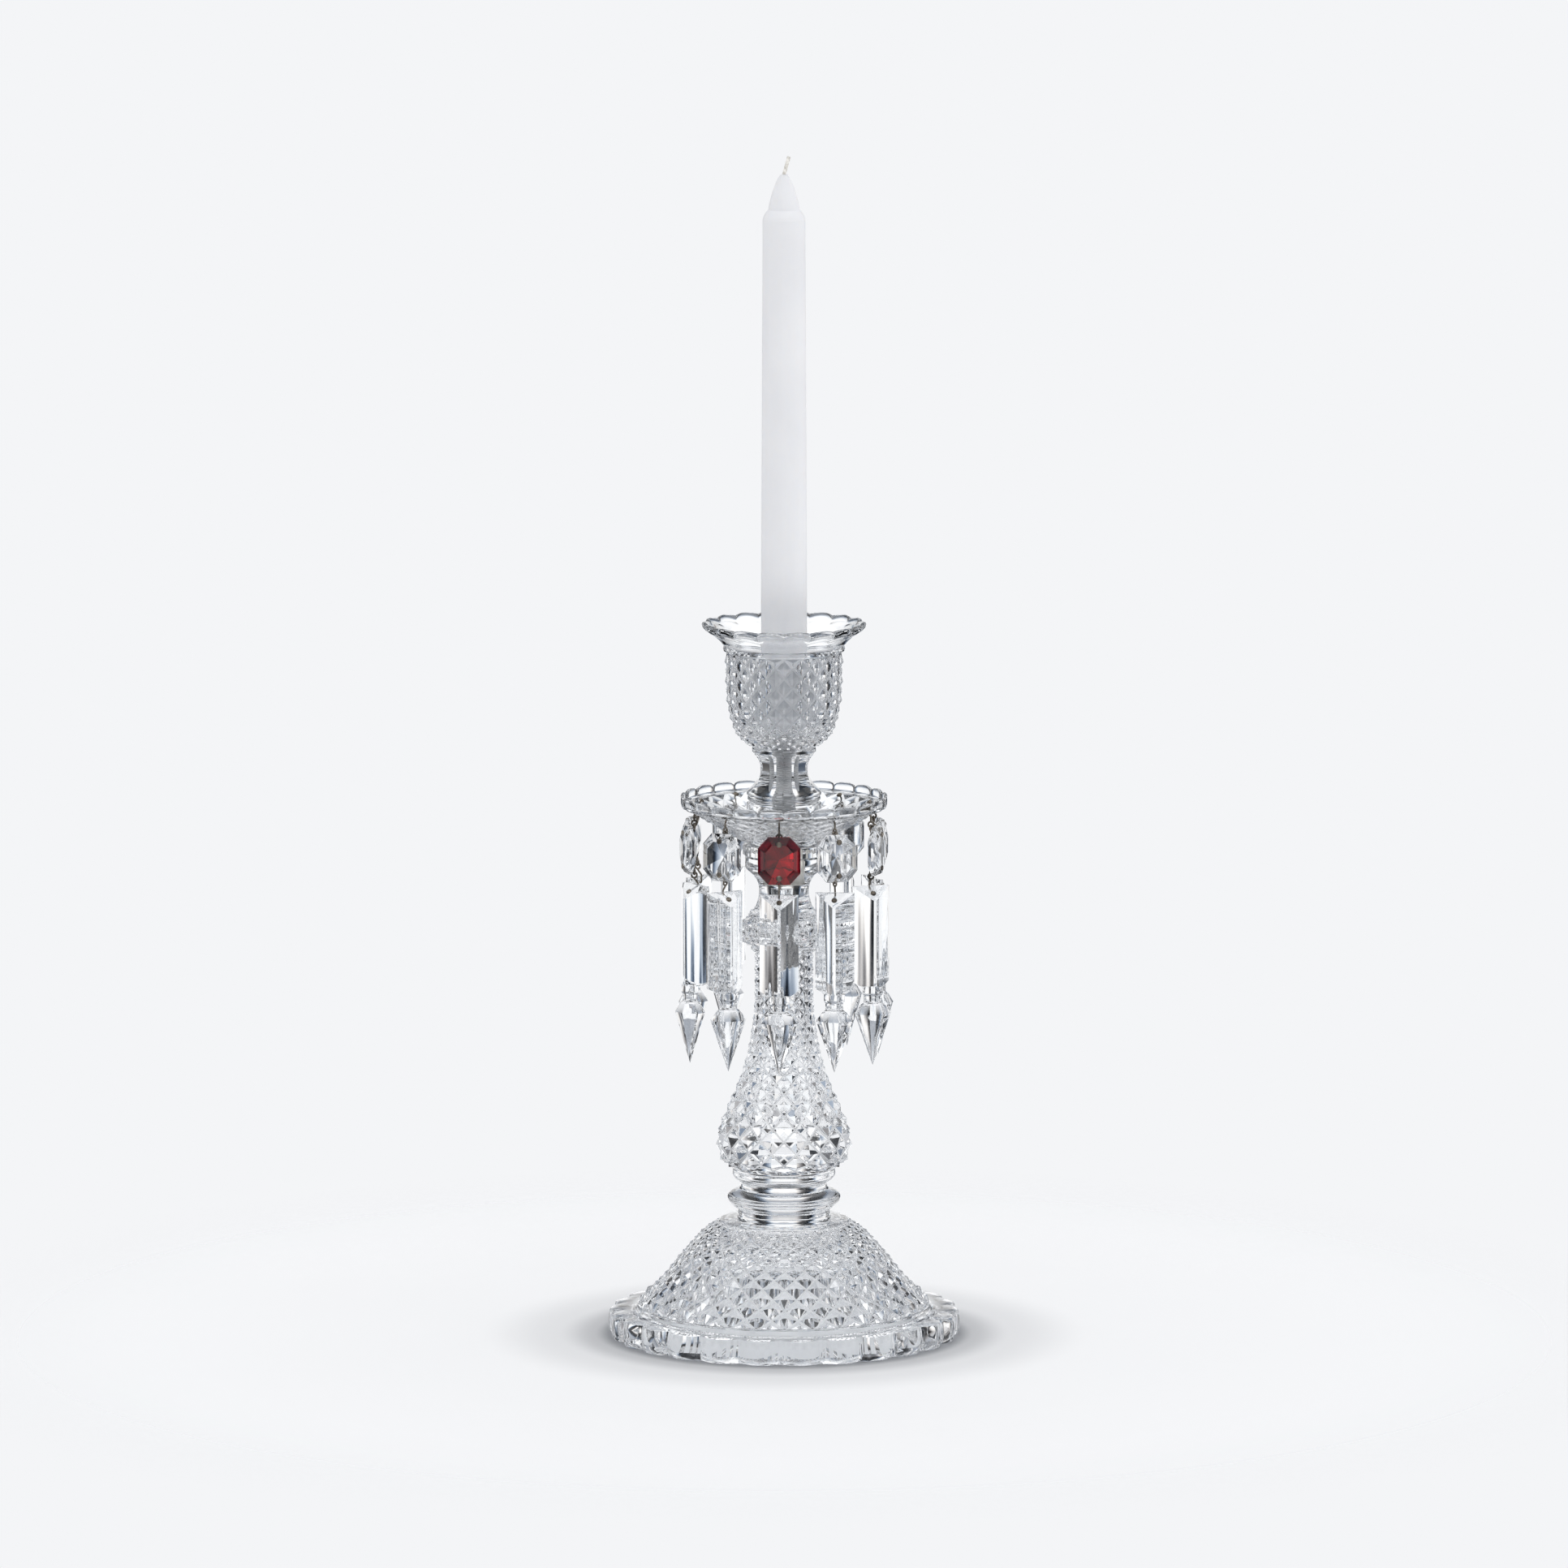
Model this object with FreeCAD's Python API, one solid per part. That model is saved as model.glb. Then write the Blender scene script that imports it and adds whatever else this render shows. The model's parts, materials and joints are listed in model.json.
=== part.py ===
"""Cut-crystal candlestick with ten hanging pendants, one STEP file per piece, in millimetres.

+Z is up and the origin is the centre of the foot's underside. The front is -Y.
"""
import FreeCAD, Part
import math
import os

os.makedirs("parts", exist_ok=True)
V = FreeCAD.Vector
UP = V(0, 0, 1)

# Foot
FOOT_R = 85.0
FOOT_CUSP_R = 81.2
FOOT_LOBES = 26
FOOT_TURN = -1.4
PLATE_TOP = 12.2
FOOT_TOP = 56.0
DISC_R = 31.4

# Stem
NECK_R = 22.8
RING_R = 27.2
COLLAR_R = 24.9
BALUSTER_FOOT = 82.5
KNOP_R = 23.0
KNOP_Z = 197.0
DRUM_R = 19.7
STEM_TOP = 239.5

# Pan and cup, with a thin washer under each
WASHER_T = 0.9
PAN_BASE = STEM_TOP + WASHER_T
PAN_R = 49.9
PAN_CUSP_R = 48.2
PAN_CREASE_R = 47.6
PAN_CREASE_Z = 257.2
PAN_RIM_Z = 263.2
PAN_LOBES = 24
HUB_R = 18.0
HUB_TOP = 260.0
CUP_BASE = HUB_TOP + WASHER_T
CUP_FLOOR = 292.0
CUP_R = 39.5
CUP_CUSP_R = 38.3
CUP_LOBES = 18
CUP_TOP = 347.2

# Bolt, threaded bush and candle socket
BOLT_R = 3.95
BOLT_HOLE_R = 4.4
BOLT_BOTTOM = 226.0
BOLT_HEAD_R = 6.5
BOLT_HEAD_T = 1.8
BUSH_R = 6.5
BUSH_BOTTOM = 221.0
WASHER_R = 16.0
UPPER_WASHER_R = 15.0
SOCKET_R = 12.2
SOCKET_WALL = 0.7
SOCKET_FLOOR_T = 1.0
SOCKET_TOP = 325.0

# Candle
CANDLE_BASE_R = 11.3
CANDLE_TOP_R = 10.2
CANDLE_SHOULDER = 541.0
CANDLE_TIP = 562.5
WICK_R = 0.9
WICK_TOP = 571.0

# Pendants: all hang from one circle under the pan
PENDANTS = 10
FIRST_ANGLE = -3.0
HANG_R = 44.6
OCTAGON_TURN = [3, -12, 0, 0, 6, -5, 8, 0, 0, 8]
PRISM_TURN = [3, -37, -49, 14, -22, 9, 31, -16, 25, 68]
OCTAGON_TOP = 250.0
OCTAGON_H = 22.9
OCTAGON_W = 20.3
OCTAGON_EDGE_W = 10.5
OCTAGON_SIDE_H = 12.1
OCTAGON_GIRDLE = 0.8
OCTAGON_BEVEL = 1.6
OCTAGON_TABLE = 0.67
OCTAGON_PYRAMID = 4.0
PRISM_TOP = 221.4
PRISM_W = 18.7
PRISM_DEPTH = 8.0
PRISM_BACK = 1.6
PRISM_EDGE = 1.5
RIDGE_HALF = 0.8
TOP_SLANT = 6.3
PRISM_BAR_BOTTOM = 172.6
SPEAR_Y = PRISM_BACK - 4.4
SPEAR_R = 8.65
SPEAR_FLATNESS = 0.8
SPEAR_CORNER = 0.3
SPEAR_Z = 160.0
PRISM_TIP = 134.6

# Wire pins
WIRE_R = 0.45
EYE_R = 1.3
LINK_GAP = 0.1
HOLE_R = 0.75
HEAD_R = 1.35
HOLE_INSET = 3.3
EYE_BACK = 3.1
HINGE_RISE = 0.85
SEAT_GAP = 0.05
PIN_SLANT = 35.0
PIN_BEND_Z = 255.0
PIN_SEAT = 3.5


def export(shape, name):
    shape.exportStep("parts/" + name + ".step")
    print(name, shape.isValid(), len(shape.Solids), round(shape.Volume / 1000, 2), "cm3")


def turned(*stretches):
    """Revolve a closed outline. Each stretch is (kind, [(radius, height), ...])."""
    edges = []
    first = last = None
    for kind, pairs in stretches:
        points = [V(r, 0, z) for r, z in pairs]
        if last and (points[0] - last).Length > 1e-6:
            edges.append(Part.makeLine(last, points[0]))
        if kind == "smooth":
            curve = Part.BSplineCurve()
            curve.interpolate(points)
            edges.append(curve.toShape())
        else:
            edges += [Part.makeLine(a, b) for a, b in zip(points, points[1:])]
        first = first or points[0]
        last = points[-1]
    edges.append(Part.makeLine(last, first))
    return Part.Face(Part.Wire(edges)).revolve(V(0, 0, 0), UP, 360)


def tube(outer, inner, bottom, top):
    """A plain ring between two heights."""
    height = top - bottom
    ring = Part.makeCylinder(outer, height, V(0, 0, bottom))
    return ring.cut(Part.makeCylinder(inner, height, V(0, 0, bottom)))


def lobed_block(crest, cusp, lobes, bottom, top, start=0.0):
    """A block whose outline is a ring of convex lobes, with one cusp at the start angle in degrees."""
    step = 2 * math.pi / lobes
    arcs = []
    for i in range(lobes):
        corners = []
        for radius, turn in ((cusp, 0.0), (crest, 0.5), (cusp, 1.0)):
            a = math.radians(start) + (i + turn) * step
            corners.append(V(radius * math.sin(a), -radius * math.cos(a), bottom))
        arcs.append(Part.Arc(*corners).toShape())
    return Part.Face(Part.Wire(arcs)).extrude(V(0, 0, top - bottom))


def gem(rings):
    """A faceted solid through a list of rings; a ring of one point is a tip."""
    faces = []
    for low, high in zip(rings, rings[1:]):
        count = max(len(low), len(high))
        for i in range(count):
            j = (i + 1) % count
            corners = [low[i % len(low)]]
            if len(low) > 1:
                corners.append(low[j])
            corners.append(high[j % len(high)])
            if len(high) > 1:
                corners.append(high[i])
            faces.append(Part.Face(Part.makePolygon(corners + corners[:1])))
    for ring in (rings[0], rings[-1]):
        if len(ring) > 1:
            faces.append(Part.Face(Part.makePolygon(ring + ring[:1])))
    solid = Part.makeSolid(Part.makeShell(faces))
    if solid.Volume < 0:
        solid.reverse()
    return solid


def bent_wire(points, bend):
    """A round wire along a polyline with its corners rounded to one radius."""
    edges = []
    start = points[0]
    for before, corner, after in zip(points, points[1:], points[2:]):
        u = (before - corner).normalize()
        w = (after - corner).normalize()
        half = u.getAngle(w) / 2
        reach = bend / math.tan(half)
        middle = corner + (u + w).normalize() * (bend / math.sin(half) - bend)
        edges.append(Part.makeLine(start, corner + u * reach))
        edges.append(Part.Arc(corner + u * reach, middle, corner + w * reach).toShape())
        start = corner + w * reach
    edges.append(Part.makeLine(start, points[-1]))
    section = Part.Wire(Part.makeCircle(WIRE_R, points[0], points[1] - points[0]))
    return Part.Wire(edges).makePipeShell([section], True, False)


def head(seat, out):
    """A low domed pin head standing on its seat, facing along out."""
    disc = Part.makeCylinder(HEAD_R, 0.35, seat, out)
    dome = Part.makeCone(HEAD_R, 0.8, 0.35, seat + out * 0.35, out)
    return disc.fuse(dome)


def eye(height, along_x):
    """A closed wire ring centred on the hang line, in the XZ plane or the YZ plane."""
    axis = V(0, 1, 0) if along_x else V(1, 0, 0)
    return Part.makeTorus(EYE_R, WIRE_R, V(0, 0, height), axis)


def turn(shape, angle):
    shape.rotate(V(0, 0, 0), UP, angle)
    return shape


def hang(shape, angle):
    """Move a shape made around the Z axis, facing -Y, to its place on the hang circle."""
    shape.translate(V(0, -HANG_R, 0))
    return turn(shape, angle)


# Foot: scalloped plate with a hollow faceted cone on it
def foot():
    plate = lobed_block(FOOT_R, FOOT_CUSP_R, FOOT_LOBES, 0, PLATE_TOP, FOOT_TURN)
    cone = turned(
        ("straight", [(0, 0), (71.5, 0), (71.5, 15.5)]),
        ("smooth", [(71.0, 16.5), (66, 20.9), (58.8, 27.7), (53.1, 35.2), (46.7, 42.7),
                    (40.2, 49.9), (35.5, 53.4), (DISC_R, FOOT_TOP - 0.6)]),
        ("straight", [(DISC_R, FOOT_TOP), (0, FOOT_TOP)]),
    )
    hollow = turned(
        ("straight", [(0, -1), (68.5, -1), (66.5, 8)]),
        ("smooth", [(65, 12), (57, 20.5), (48.5, 29.5), (40.5, 39), (31, 45.5), (22, 47.6)]),
        ("straight", [(0, 47.6)]),
    )
    return plate.fuse(cone).cut(hollow).removeSplitter()


# Stem: neck, ring, collar, baluster, knop, trumpet and drum cut from one block
def stem():
    body = turned(
        ("straight", [(0, FOOT_TOP), (NECK_R, FOOT_TOP), (NECK_R, 61.6), (24.4, 63.2), (RING_R, 67.1),
                      (24.4, 70.6), (20.8, 71.6), (20.8, 74.4), (COLLAR_R, 77.2), (COLLAR_R, 79.4),
                      (24.2, 80.4), (26.0, BALUSTER_FOOT)]),
        ("smooth", [(29.8, BALUSTER_FOOT), (31.8, 87), (32.9, 94), (31.8, 101), (27.0, 113), (21.4, 126),
                    (16.9, 143), (14.6, 160), (14.2, 175), (14.2, 186.8)]),
        ("straight", [(15.9, 187.4), (15.9, 189.6), (17.5, 190.6)]),
        ("smooth", [(19.6, 191), (22.2, 193.3), (KNOP_R, KNOP_Z), (22.2, 200.8), (19.6, 203.2)]),
        ("straight", [(17.0, 203.6), (16.6, 205.0), (16.9, 205.6), (16.2, 207.0)]),
        ("smooth", [(14.6, 207.6), (13.0, 211.5), (12.1, 217.5), (13.3, 222.1), (16.0, 225.3),
                    (18.2, 227.6), (18.7, 230)]),
        ("straight", [(18.7, 233.8), (DRUM_R, 234.6), (DRUM_R, STEM_TOP), (0, STEM_TOP)]),
    )
    return body.cut(Part.makeCylinder(BUSH_R, STEM_TOP - BUSH_BOTTOM + 1, V(0, 0, BUSH_BOTTOM)))


# Pan: a scalloped dish with a raised hub, pierced for the pendant pins
def pin_axis():
    """Where a pan pin bends below the pan, and the direction from there to its head."""
    slant = math.radians(PIN_SLANT)
    return V(0, 0, PIN_BEND_Z), V(0, math.sin(slant), math.cos(slant))


def pan():
    dish = turned(
        ("straight", [(BOLT_HOLE_R, PAN_BASE), (DRUM_R, PAN_BASE), (PAN_CREASE_R, PAN_CREASE_Z)]),
        ("smooth", [(PAN_CREASE_R, PAN_CREASE_Z), (PAN_R, 260.7), (PAN_CREASE_R, PAN_RIM_Z)]),
        ("straight", [(45.6, 262.4), (43.4, 258.4), (21.0, 245.0), (HUB_R, 247.0), (HUB_R, HUB_TOP),
                      (BOLT_HOLE_R, HUB_TOP)]),
    )
    dish = dish.common(lobed_block(PAN_R, PAN_CUSP_R, PAN_LOBES, PAN_BASE - 1, PAN_RIM_Z + 1))
    corner, inward = pin_axis()
    hole = Part.makeCylinder(HOLE_R, 9, corner - inward * 3, inward)
    seat = Part.makeCylinder(HEAD_R + 0.35, 4, corner + inward * PIN_SEAT, inward)
    for k in range(PENDANTS):
        cutter = hang(hole.fuse(seat), FIRST_ANGLE + k * 360 / PENDANTS)
        dish = dish.cut(cutter)
    return dish


def pan_pin():
    corner, inward = pin_axis()
    seat = corner + inward * PIN_SEAT
    eye_centre = upper_hinge() + EYE_R - 2 * WIRE_R - LINK_GAP
    wire = bent_wire([seat + inward * 0.2, corner, V(0, 0, eye_centre + EYE_R)], 1.0)
    return wire.fuse(head(seat, inward)).fuse(eye(eye_centre, False))


# Cup: a hollow tulip on a solid neck, with a flared scalloped lip
def cup():
    bowl = turned(
        ("straight", [(BOLT_HOLE_R, CUP_BASE), (17.5, CUP_BASE)]),
        ("smooth", [(17.5, CUP_BASE), (17.9, 264), (16.0, 267.2), (12.9, 271.6), (12.0, 276.2), (12.6, 280)]),
        ("straight", [(15.1, 283.2), (15.1, 286.0)]),
        ("smooth", [(15.6, 286.4), (21.2, 291.0), (24.9, 296.3), (26.7, 303.4), (28.2, 314), (28.6, 332.0)]),
        ("straight", [(29.5, 333.4), (29.5, 335.2)]),
        ("smooth", [(29.4, 335.6), (32.2, 339.4), (37.0, 342.9), (CUP_R, 345.9)]),
        ("straight", [(CUP_R - 1.0, CUP_TOP), (CUP_R - 2.6, CUP_TOP)]),
        ("smooth", [(CUP_R - 2.6, CUP_TOP), (31.4, 343.6), (27.2, 339.0), (25.9, 333), (25.5, 313),
                    (24.0, 302.5), (20.6, 296.6), (15.5, CUP_FLOOR)]),
        ("straight", [(BOLT_HOLE_R, CUP_FLOOR)]),
    )
    return bowl.common(lobed_block(CUP_R, CUP_CUSP_R, CUP_LOBES, CUP_BASE - 1, CUP_TOP + 1))


def candle_socket():
    wall = tube(SOCKET_R, SOCKET_R - SOCKET_WALL, CUP_FLOOR, SOCKET_TOP)
    floor = tube(SOCKET_R, BOLT_HOLE_R, CUP_FLOOR, CUP_FLOOR + SOCKET_FLOOR_T)
    return wall.fuse(floor).removeSplitter()


def socket_bolt():
    under_head = CUP_FLOOR + SOCKET_FLOOR_T
    shank = Part.makeCylinder(BOLT_R, under_head - BOLT_BOTTOM, V(0, 0, BOLT_BOTTOM))
    cap = Part.makeCylinder(BOLT_HEAD_R, BOLT_HEAD_T, V(0, 0, under_head))
    slot = Part.makeBox(20, 1.6, 2, V(-10, -0.8, under_head + BOLT_HEAD_T - 0.8))
    return shank.fuse(cap).cut(slot)


# Candle: a slightly tapered dinner candle standing on the bolt's head
def candle():
    base = CUP_FLOOR + SOCKET_FLOOR_T + BOLT_HEAD_T
    wax = turned(
        ("straight", [(WICK_R, base), (CANDLE_BASE_R, base), (CANDLE_TOP_R, CANDLE_SHOULDER)]),
        ("smooth", [(CANDLE_TOP_R, CANDLE_SHOULDER), (9.4, 543.2), (7.6, 545.6)]),
        ("smooth", [(7.4, 546.2), (6.5, 550.8), (5.0, 555.6), (3.2, 560.0), (1.6, CANDLE_TIP)]),
        ("straight", [(WICK_R, CANDLE_TIP)]),
    )
    return wax, base


def wick(base):
    cord = Part.makeCylinder(WICK_R, CANDLE_TIP - base, V(0, 0, base))
    lean = V(0.28, 0, 1).normalize()
    tip = Part.makeCylinder(WICK_R, (WICK_TOP - CANDLE_TIP) / lean.z, V(0, 0, CANDLE_TIP), lean)
    knee = Part.makeSphere(WICK_R, V(0, 0, CANDLE_TIP))
    return cord.fuse(knee).fuse(tip)


# Octagon: flat table and eight bevels in front, a shallow eight-sided pyramid behind
def octagon_ring(share, y):
    """Eight corners of the outline, shrunk about its centre."""
    middle = OCTAGON_TOP - OCTAGON_H / 2
    a, b = OCTAGON_EDGE_W / 2, OCTAGON_W / 2
    c, d = OCTAGON_H / 2, OCTAGON_SIDE_H / 2
    corners = [(a, c), (b, d), (b, -d), (a, -c), (-a, -c), (-b, -d), (-b, d), (-a, c)]
    return [V(x * share, y, middle + z * share) for x, z in corners]


def octagon_holes():
    return OCTAGON_TOP - HOLE_INSET, OCTAGON_TOP - OCTAGON_H + HOLE_INSET


def octagon():
    behind = -EYE_BACK + OCTAGON_GIRDLE
    ahead = -EYE_BACK - OCTAGON_GIRDLE
    back = V(0, behind + OCTAGON_PYRAMID, OCTAGON_TOP - OCTAGON_H / 2)
    glass = gem([[back], octagon_ring(1, behind), octagon_ring(1, ahead),
                 octagon_ring(OCTAGON_TABLE, ahead - OCTAGON_BEVEL)])
    for z in octagon_holes():
        glass = glass.cut(Part.makeCylinder(HOLE_R, 20, V(0, -12, z), V(0, 1, 0)))
    return glass


def upper_hinge():
    """Height of the top of the octagon's upper eye, on which it swings."""
    return OCTAGON_TOP + HINGE_RISE


def lower_hinge():
    """Height of the bottom of the octagon's lower eye, on which the prism swings."""
    return OCTAGON_TOP - OCTAGON_H - HINGE_RISE


def octagon_pin(hole, hinge):
    """Head on the table, wire through the hole, eye close behind the edge."""
    way = 1 if hinge > hole else -1
    seat = V(0, -EYE_BACK - OCTAGON_GIRDLE - OCTAGON_BEVEL - SEAT_GAP, hole)
    centre = hinge - way * EYE_R
    wire = [seat + V(0, -0.2, 0), V(0, 0, hole), V(0, 0, centre - way * EYE_R)]
    return bent_wire(wire, 1.0).fuse(head(seat, V(0, -1, 0))), eye(centre, True)


# Prism: triangular bar with a slanted top, a square neck and an eight-sided spear
def square_ring(half, z):
    """Eight corners of a nearly square section with cut corners."""
    a, b = half * SPEAR_CORNER, half
    c, d = half * SPEAR_CORNER * SPEAR_FLATNESS, half * SPEAR_FLATNESS
    corners = [(a, -d), (b, -c), (b, c), (a, d), (-a, d), (-b, c), (-b, -c), (-a, -d)]
    return [V(x, SPEAR_Y + y, z) for x, y in corners]


def prism():
    half = PRISM_W / 2
    section = [(-half, 0), (half, 0), (half, PRISM_EDGE), (RIDGE_HALF, PRISM_DEPTH),
               (-RIDGE_HALF, PRISM_DEPTH), (-half, PRISM_EDGE)]
    outline = [V(w, PRISM_BACK - n, PRISM_BAR_BOTTOM) for w, n in section]
    bar = Part.Face(Part.makePolygon(outline + outline[:1])).extrude(V(0, 0, PRISM_TOP - PRISM_BAR_BOTTOM))

    depth = PRISM_DEPTH - PRISM_EDGE
    slope = math.degrees(math.atan2(TOP_SLANT, depth))
    knife = Part.makeBox(40, 40, 20, V(-20, -40, 0))
    knife.rotate(V(0, 0, 0), V(1, 0, 0), slope)
    knife.translate(V(0, PRISM_BACK - PRISM_EDGE, PRISM_TOP))
    bar = bar.cut(knife)
    for side in (-1, 1):
        corner = Part.makeBox(12, 40, 12, V(-6, -20, -12))
        corner.rotate(V(0, 0, 0), V(0, 1, 0), -side * 28)
        corner.translate(V(side * (half - 3), 0, PRISM_BAR_BOTTOM + 0.8))
        bar = bar.cut(corner)

    spear = gem([square_ring(4.9, PRISM_BAR_BOTTOM + 0.2), square_ring(4.9, 169.4), square_ring(4.2, 168.6),
                 square_ring(4.2, 165.2), square_ring(5.6, 164.2), square_ring(SPEAR_R, SPEAR_Z),
                 [V(0, SPEAR_Y, PRISM_TIP)]])
    hole = Part.makeCylinder(HOLE_R, 20, V(0, -12, PRISM_TOP - HOLE_INSET), V(0, 1, 0))
    return bar.fuse(spear).cut(hole).removeSplitter()


def prism_pin():
    """Head lying on the slanted top, wire up behind the glass, and the eye above it."""
    hole = PRISM_TOP - HOLE_INSET
    depth = PRISM_DEPTH - PRISM_EDGE
    face = PRISM_EDGE + depth * HOLE_INSET / TOP_SLANT
    out = V(0, -TOP_SLANT, depth).normalize()
    on_face = V(0, PRISM_BACK - face, hole)
    centre = lower_hinge() + WIRE_R * 2 + LINK_GAP - EYE_R
    behind = PRISM_BACK + WIRE_R + 0.2
    wire = bent_wire([on_face - V(0, 0.45, 0), V(0, behind, hole), V(0, behind, PRISM_TOP + 0.5),
                      V(0, 0, centre - EYE_R - 0.3), V(0, 0, centre - EYE_R)], 0.6)
    return wire.fuse(head(on_face + out * 0.1, out)), eye(centre, False)


def fixed_pieces():
    export(foot(), "foot")
    export(stem(), "stem")
    export(tube(BUSH_R, BOLT_R, BUSH_BOTTOM, STEM_TOP), "stem_bush")
    export(tube(WASHER_R, BOLT_HOLE_R, STEM_TOP, PAN_BASE), "pan_washer_lower")
    export(pan(), "pan")
    export(tube(UPPER_WASHER_R, BOLT_HOLE_R, HUB_TOP, CUP_BASE), "pan_washer_upper")
    export(cup(), "cup")
    export(candle_socket(), "candle_socket")
    export(socket_bolt(), "socket_bolt")
    wax, base = candle()
    export(wax, "candle")
    export(wick(base), "wick")
    angles = [FIRST_ANGLE + k * 360 / PENDANTS for k in range(PENDANTS)]
    export(Part.makeCompound([hang(pan_pin(), a) for a in angles]), "pan_pins")


def pendants():
    """Each glass and its pins are turned about their own hang line; the eyes keep square to it."""
    top_hole, bottom_hole = octagon_holes()
    for k in range(PENDANTS):
        angle = FIRST_ANGLE + k * 360 / PENDANTS
        name = str(k + 1).zfill(2)
        export(hang(turn(octagon(), OCTAGON_TURN[k]), angle), "octagon_" + name)
        pins = []
        for hole, hinge in ((top_hole, upper_hinge()), (bottom_hole, lower_hinge())):
            wire, ring = octagon_pin(hole, hinge)
            pins.append(hang(turn(wire, OCTAGON_TURN[k]).fuse(ring), angle))
        export(Part.makeCompound(pins), "octagon_pins_" + name)
        export(hang(turn(prism(), PRISM_TURN[k]), angle), "prism_" + name)
        wire, ring = prism_pin()
        export(hang(turn(wire, PRISM_TURN[k]).fuse(ring), angle), "prism_pin_" + name)


fixed_pieces()
pendants()
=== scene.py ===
"""The looks of the cut-crystal candlestick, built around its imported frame. Sizes are in millimetres in the
outlines below and become metres when a mesh is made."""
import bmesh
import bpy
import json
import math
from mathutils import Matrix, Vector

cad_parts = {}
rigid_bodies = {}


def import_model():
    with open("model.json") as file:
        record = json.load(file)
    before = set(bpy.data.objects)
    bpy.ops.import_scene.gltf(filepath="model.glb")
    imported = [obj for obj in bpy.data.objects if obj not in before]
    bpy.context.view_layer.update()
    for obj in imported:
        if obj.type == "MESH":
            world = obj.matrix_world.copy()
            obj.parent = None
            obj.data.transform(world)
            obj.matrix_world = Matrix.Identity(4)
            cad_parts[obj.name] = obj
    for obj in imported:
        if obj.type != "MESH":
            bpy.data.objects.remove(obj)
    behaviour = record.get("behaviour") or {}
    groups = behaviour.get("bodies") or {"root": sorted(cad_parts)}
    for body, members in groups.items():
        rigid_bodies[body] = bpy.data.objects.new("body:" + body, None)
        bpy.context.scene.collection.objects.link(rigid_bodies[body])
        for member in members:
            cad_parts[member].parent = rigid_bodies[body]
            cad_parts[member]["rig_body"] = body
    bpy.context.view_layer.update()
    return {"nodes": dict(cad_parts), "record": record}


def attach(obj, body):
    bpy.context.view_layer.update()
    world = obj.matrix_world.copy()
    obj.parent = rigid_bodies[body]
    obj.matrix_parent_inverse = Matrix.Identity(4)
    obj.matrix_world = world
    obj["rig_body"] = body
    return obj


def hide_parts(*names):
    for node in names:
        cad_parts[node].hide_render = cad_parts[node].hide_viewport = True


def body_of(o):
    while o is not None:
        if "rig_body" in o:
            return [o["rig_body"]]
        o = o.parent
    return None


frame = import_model()
MM = 0.001

# How finely things are drawn
ROUND = 96
SHARP_ANGLE = math.radians(24)
BAND_STEP = 0.4

# Glass: refraction, roughness and tint
CRYSTAL_INDEX = 1.54
PENDANT_INDEX = 1.68
SATIN = 0.25
GROUND = 0.38
CLEAR = (0.985, 0.992, 1.0, 1)
BRIGHT_RUBY = (0.60, 0.003, 0.012, 1)
# The darker ruby tint paints shade onto some facets of the red glass.
PAINTED_SHADE_RUBY_TINT = (0.085, 0.001, 0.006, 1)

# Foot
FOOT_TOP = 56.0
FOOT_PLATE = 12.2
FOOT_CREST = 85.0
FOOT_CUSP = 81.2
FOOT_LOBES = 26
FOOT_TURN = math.radians(-1.4)
FOOT_DIAMONDS = 32
COMB = 0.35

# Stem
STEM_BASE = 56.03
STEM_TOP = 239.5
STEM_DIAMONDS = 16
DRUM_WAVES = 20
BUSH_BORE = 6.45
BUSH_FLOOR = 221.0

# Pan and cup, whose bores are drawn touching the bolt
BORE = 3.45
PAN_BASE = 240.4
HUB_TOP = 260.0
PAN_LOBES = 24
CUP_BASE = 260.9
CUP_FLOOR = 292.0
CUP_FLATS = 8
CUP_DIAMONDS = 20
LIP_LOBES = 18
LIP_DROP = 0.75

# Bolt
BOLT_BOTTOM = 226.0
BOLT_SEAT = 293.0
BOLT_HEAD = 1.8
THREAD_PITCH = 1.25
THREAD_ROOT = 3.5
THREAD_CREST = 3.95
BOLT_ROUND = 32

# Octagons and prisms
POLISH = 0.42

# Stage
BACKDROP = (0.905, 0.913, 0.930, 1)
FLOOR_HALF = 1.2
FLOOR_COLOUR = (0.862, 0.866, 0.872)
# The floor's painted shadow round the foot: its tint, then its brightness against radius in millimetres.
SHADOW_TINT = (0.0, 0.01, 0.035)
PAINTED_FLOOR_SHADOW = [(0, 1.0), (64, 1.0), (73, 0.42), (84, 0.38), (92, 0.62), (110, 0.85), (150, 1.0)]
FLOOR_FADE = (0.22, 0.45)
TENT_WINDOWS = 8.0
TENT_LOW = 0.20
TENT_LEVEL = 0.90
TENT_GAP = -0.65
TENT_TOP = 1.5
WINDOW_FLOOR = 0.02
WINDOW_EDGE = (-0.85, 0.25)
HORIZON_EDGE = (math.radians(-27), math.radians(-10))
GAP_LOWER_EDGE = (math.radians(6), math.radians(17))
GAP_UPPER_EDGE = (math.radians(42), math.radians(28))
TOP_EDGE = (math.radians(38), math.radians(58))
FIRE = math.radians(0.25)
DIM_TINT = (0.72, 0.82, 1.0, 1)
BRIGHT_TINT = (0.99, 0.994, 1.0, 1)
EVEN_LIGHT = (1.0, 1.0, 1.01, 1)
EVEN_STRENGTH = 1.05
EVEN_SLOPE = 0.14

# Camera
CAMERA_BACK = 6.0
CAMERA_HEIGHT = 1.188
CAMERA_PITCH = math.radians(8.714)
LENS = 290.06


def polar(radius, angle, height):
    """A point in millimetres; the angle runs from the front (-Y) towards +X."""
    return Vector((radius * math.sin(angle), -radius * math.cos(angle), height))


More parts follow.
